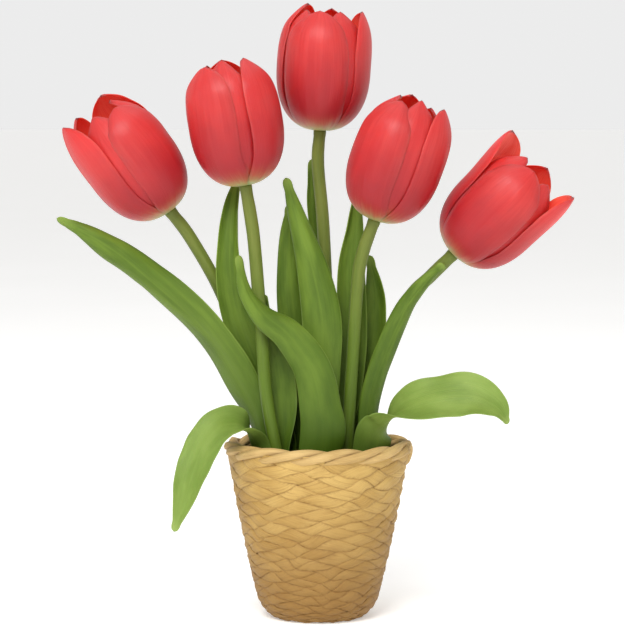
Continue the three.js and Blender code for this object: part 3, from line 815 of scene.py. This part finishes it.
def petal_depth(u, v, lean, layer, seed):
    """How far inside the cup's outline a petal lies, with its groove, wavy edge, dents and curled tip."""
    settle = smoothstep(u, 0, 0.35)
    foot = SINK_AT_FOOT if layer["sink"] else 0
    depth = lerp(foot, layer["sink"], settle) + layer["tuck"] * settle * np.abs(v) ** 2.5
    groove = np.exp(-((v / 0.07) ** 2))
    depth += PETAL_GROOVE * groove * smoothstep(u, 0.12, 0.35) * (1 - smoothstep(u, 0.7, 0.95))
    edge = PETAL_EDGE_WAVE * np.abs(v) ** 3 * ripple(u * 9 + np.sign(v) * 2, seed + 3)
    depth += edge * smoothstep(u, 0.45, 0.8) * (1 - smoothstep(u, 0.85, 1))
    depth += PETAL_DENT * ripple(v * 5 + u * 2, seed + 7) * settle
    return depth + PETAL_CURL * max(0, 1 - lean / 5) * smoothstep(u, 0.72, 1.02) ** 1.5


def petal_face(petal, layer, seed):
    turn, half_angle, length, lean = petal

    def face(u, v):
        t = u * length
        above = np.clip((u - 0.5) / 0.5, 0, 1)
        taper = (1 - above**PETAL_POINTING) ** PETAL_ROUNDING
        bend = 0.03 * ripple(u * 4, seed) * np.sin(math.pi * u)
        spread = lerp(PETAL_FOOT_SPREAD, 1.0, smoothstep(u, 0.05, 0.4))
        angle = np.radians(turn + half_angle * (taper * spread * v + bend))
        radius, height = cup_outline(t)
        next_radius, next_height = cup_outline(t + 0.002)
        run = np.hypot(next_radius - radius, next_height - height)
        inward_r, inward_z = -(next_height - height) / run, (next_radius - radius) / run
        depth = petal_depth(u, v, lean, layer, seed)
        r = radius + inward_r * depth + lean * above**2
        z = height + inward_z * depth + PETAL_THICKNESS
        point = np.stack([r * np.sin(angle), -r * np.cos(angle), z], axis=-1)
        normal = np.stack([inward_r * np.sin(angle), -inward_r * np.cos(angle), inward_z], axis=-1)
        return point, normal

    return face


def petal_sheets(petal, layer, seed):
    rows, columns = PETAL_GRID
    share = np.linspace(0, 1, rows)
    u = 0.45 * share + 0.55 * np.sin(share * math.pi / 2)
    v = np.sin(np.linspace(-1, 1, columns) * math.pi / 2)
    return blade(petal_face(petal, layer, seed), u, v, PETAL_THICKNESS, seed)


def bud(organ, path, radii, tile, lobes=0.0, count=3):
    """A short closed tube with lobes round it, for the flower's inner organs."""
    shape = 1 + lobes * np.cos(count * np.linspace(0, 2 * math.pi, BUD_AROUND))
    part = tube(path, np.gradient(path, axis=0), radii[:, None] * shape, tile)
    part["side"] = ORGANS[organ]
    return part


def stamen_part(i, part, bend):
    """The middle line of stamen i's filament or anther, from the flower's axis outwards and up."""
    turn = i / STAMENS * 2 * math.pi
    out = np.array([math.cos(turn), math.sin(turn), 0])
    share = np.linspace(0, 1, STAMEN_POINTS)
    reach = lerp(*part["out"], share**bend)
    return out * reach[:, None] + UP * lerp(*part["height"], share)[:, None]


def heart_sheets():
    """The three-sided pistil with its stigma, and the stamens with their long anthers."""
    share = np.linspace(0, 1, PISTIL_POINTS)
    pistil = 2.0 + 0.45 * np.sin(share * math.pi) - 0.5 * share**6
    path = UP * (share * PISTIL_HEIGHT)[:, None]
    sheets = [bud("pistil", path, pistil, (0.01, 0.01, 0.49, 0.24), 0.09)]
    stigma, height = np.array(STIGMA).T
    sheets.append(bud("stigma", UP * height[:, None], stigma, (0.51, 0.01, 0.99, 0.24), 0.22))
    thread = np.linspace(0.9, 0.45, STAMEN_POINTS)
    sac = 1.25 * np.sin(np.linspace(0.12, 0.93, STAMEN_POINTS) * math.pi) ** 0.5
    for i in range(STAMENS):
        low = 0.26 + 0.12 * i
        path = stamen_part(i, FILAMENT, 1.4)
        sheets.append(bud("filament", path, thread, (0.01, low, 0.49, low + 0.11)))
        path = stamen_part(i, ANTHER, 1)
        sheets.append(bud("anther", path, sac, (0.51, low, 0.99, low + 0.11), 0.16, 2))
    return sheets


def head_frame(route):
    """Where a flower stands and the turn that takes the Z axis onto its stem's direction."""
    end, way = along(route, np.array([1.0]))
    way = Vector(unit(way)[0])
    turn = Vector((0, 0, 1)).rotation_difference(way).to_matrix()
    return end[0] + np.array(way) * GAP, np.array(turn)


def placed(sheets, at, turn):
    for part in sheets:
        part["points"] = part["points"] @ turn.T + at
    return sheets


def add_tulip(number, tulip, materials):
    route = stem_route(tulip)
    name = f"tulip_{number}"
    add_piece(f"{name}_stem_skin", [stem_sheet(route, number)], materials["stem"], "stem", f"{name}_stem")
    at, turn = head_frame(route)
    organs = placed(heart_sheets(), at, turn)
    add_piece(f"{name}_heart_organs", organs, materials["heart"], "heart", f"{name}_heart")
    for whorl, layer in (("outer", OUTER), ("inner", INNER)):
        for i, petal in enumerate(tulip[whorl], 1):
            node = f"{name}_{whorl}_petal_{i}"
            seed = number * 10 + i + (0 if whorl == "outer" else 5)
            sheets = placed(petal_sheets(petal, layer, seed), at, turn)
            add_piece(f"{node}_blade", sheets, materials["petal"], "petal", node)


# ---- Leaves ----


def leaf_rows(on, side, start, stations):
    """A leaf's clasp round its stem and its stations, as rows of x, y, z, half width, roll and curl."""
    route = stem_route(TULIPS[on - 1])
    reach = STEM_RADIUS + GAP + LEAF_THICKNESS
    outward = np.array([math.sin(math.radians(side)), -math.cos(math.radians(side)), 0])
    rows = []
    for rise, loosen, curl in CLASP:
        middle = stem_at(route, BASKET["height"] + start + rise) + outward * (reach + loosen)
        rows.append([*middle, (reach + loosen) * math.radians(curl), side, curl])
    rows += [[x, y, BASKET["height"] + z, *shape] for x, y, z, *shape in stations]
    return np.array(rows, float)


def leaf_face(leaf, seed):
    rows = leaf_rows(*leaf)

    def face(u, v):
        centre, way = along(rows[:, :3], u)
        way = unit(way)
        half, roll, curl = np.moveaxis(along(rows[:, 3:], u)[0], -1, 0)
        channel = smoothstep(u, 0.6, 0.82) * (1 - smoothstep(u, 0.93, 1))
        curl = np.clip(curl * (1 + TIP_CHANNEL * channel), -80, 80)
        tip = np.clip((u - LEAF_TIP_START) / (1 - LEAF_TIP_START), 0, 1)
        half = np.maximum(half, LEAF_TIP) * np.sqrt(1 - tip**2.2)
        level = unit(np.cross([0.0, 1.0, 0.0], way))
        back = np.cross(way, level)
        across = turned(level, way, np.radians(roll))
        hollow = turned(back, way, np.radians(roll))
        bend = np.radians(curl)
        share = smoothstep(u, 0.3, 0.5) * (1 - smoothstep(u, 0.9, 1))
        wave = LEAF_EDGE_WAVE * np.abs(v) ** 3 * half * ripple(u * 16 + np.sign(v) * 1.7, seed) * share
        groove = LEAF_GROOVE * np.exp(-((v / 0.09) ** 2)) * (1 - smoothstep(u, 0.8, 0.98))
        depth = half * (1 - np.cos(bend * v)) / bend + wave + groove
        point = centre + across * (half * np.sin(bend * v) / bend)[..., None] + hollow * depth[..., None]
        normal = hollow * np.cos(bend * v)[..., None] - across * np.sin(bend * v)[..., None]
        return point, normal

    return face


def add_leaf(name, leaf, seed, material, slot):
    rows, columns = LEAF_GRID
    share = np.linspace(0, 1, rows)
    u = 0.5 * share + 0.5 * np.sin(share * math.pi / 2)
    v = np.sin(np.linspace(-1, 1, columns) * math.pi / 2)
    sheets = blade(leaf_face(leaf, seed), u, v, LEAF_THICKNESS, seed)
    add_piece(f"{name}_blade", sheets, material, slot, name)


# ---- Floor, light and camera ----

# The sky's strength goes from the horizon's to the zenith's between these heights of the view direction.
SKY = {"From Min": 0.1, "From Max": 0.5, "To Min": 0.84, "To Max": 0.52}
FLOOR_RADIUS = 40  # metres
FLOOR_GLOW = 0.33  # keeps the floor as pale as the horizon far from the lamps
# Each lamp's place and size, in metres, and its power in watts. They all point at LAMP_TARGET.
LAMPS = {"key": ((-0.4, -1.5, 1.6), 1.0, 39), "top": ((0.1, 0.5, 2.2), 1.4, 8)}
LAMP_TARGET = (0, 0, 0.17)
CAMERA = {"sensor": 36, "lens": 154.29, "elevation": 4.3, "target": (-3.1, 0, 171.3)}
CAMERA_DISTANCE = 1.5  # metres


def aim(thing, target):
    """Turns a lamp or camera so that it looks at the target."""
    thing.rotation_mode = "QUATERNION"
    thing.rotation_quaternion = (Vector(target) - thing.location).to_track_quat("-Z", "Y")


def add_floor():
    bpy.ops.mesh.primitive_circle_add(vertices=96, radius=FLOOR_RADIUS, fill_type="NGON")
    floor = bpy.context.object
    floor.name = "floor"
    s = Shader("floor_paper")
    tint = s.noise(s.place, 3.0, 2)
    tone = s.mix(tint, colour(244, 243, 240), colour(250, 249, 247))
    paper = s.finish(
        tone, s.span(tint, 0, 1, 0.8, 0.9), s.bump(tint, 0.01, 0.0001),
        Emission_Color=(1, 1, 1, 1), Emission_Strength=FLOOR_GLOW,
    )
    floor.data.materials.append(paper)


def add_sky():
    world = bpy.data.worlds.new("studio")
    world.use_nodes = True
    nodes, links = world.node_tree.nodes, world.node_tree.links
    height = nodes.new("ShaderNodeSeparateXYZ")
    links.new(nodes.new("ShaderNodeTexCoord").outputs["Generated"], height.inputs[0])
    sky = nodes.new("ShaderNodeMapRange")
    links.new(height.outputs[2], sky.inputs["Value"])
    for socket, value in SKY.items():
        sky.inputs[socket].default_value = value
    nodes["Background"].inputs["Color"].default_value = (1, 1, 1, 1)
    links.new(sky.outputs[0], nodes["Background"].inputs["Strength"])
    bpy.context.scene.world = world


def add_lamps():
    for name, (place, size, watts) in LAMPS.items():
        light = bpy.data.lights.new(name, "AREA")
        light.energy = watts
        light.size = size
        lamp = bpy.data.objects.new(name, light)
        bpy.context.scene.collection.objects.link(lamp)
        lamp.location = place
        aim(lamp, LAMP_TARGET)


def add_camera():
    target = Vector(CAMERA["target"]) * MM
    lift = math.radians(CAMERA["elevation"])
    data = bpy.data.cameras.new("camera")
    data.sensor_width = CAMERA["sensor"]
    data.lens = CAMERA["lens"]
    camera = bpy.data.objects.new("camera", data)
    bpy.context.scene.collection.objects.link(camera)
    camera.location = target + Vector((0, -math.cos(lift), math.sin(lift))) * CAMERA_DISTANCE
    aim(camera, target)
    bpy.context.scene.camera = camera


def build():
    bpy.context.scene.view_settings.view_transform = "Standard"
    add_camera()
    add_floor()
    add_sky()
    add_lamps()
    add_vase()
    materials = {"petal": petal_material(), "stem": stem_material(), "heart": heart_material()}
    for number, tulip in enumerate(TULIPS, 1):
        add_tulip(number, tulip, materials)
    green = leaf_material("leaf_green", colour(60, 85, 12), colour(108, 133, 42), colour(142, 163, 74))
    pale = leaf_material("leaf_pale", colour(100, 126, 46), colour(148, 170, 84), colour(162, 182, 100))
    for seed, (name, leaf) in enumerate(LEAVES.items(), 1):
        is_pale = name in PALE_LEAVES
        add_leaf(name, leaf, seed, pale if is_pale else green, "leaf_drooping" if is_pale else "leaf")


build()
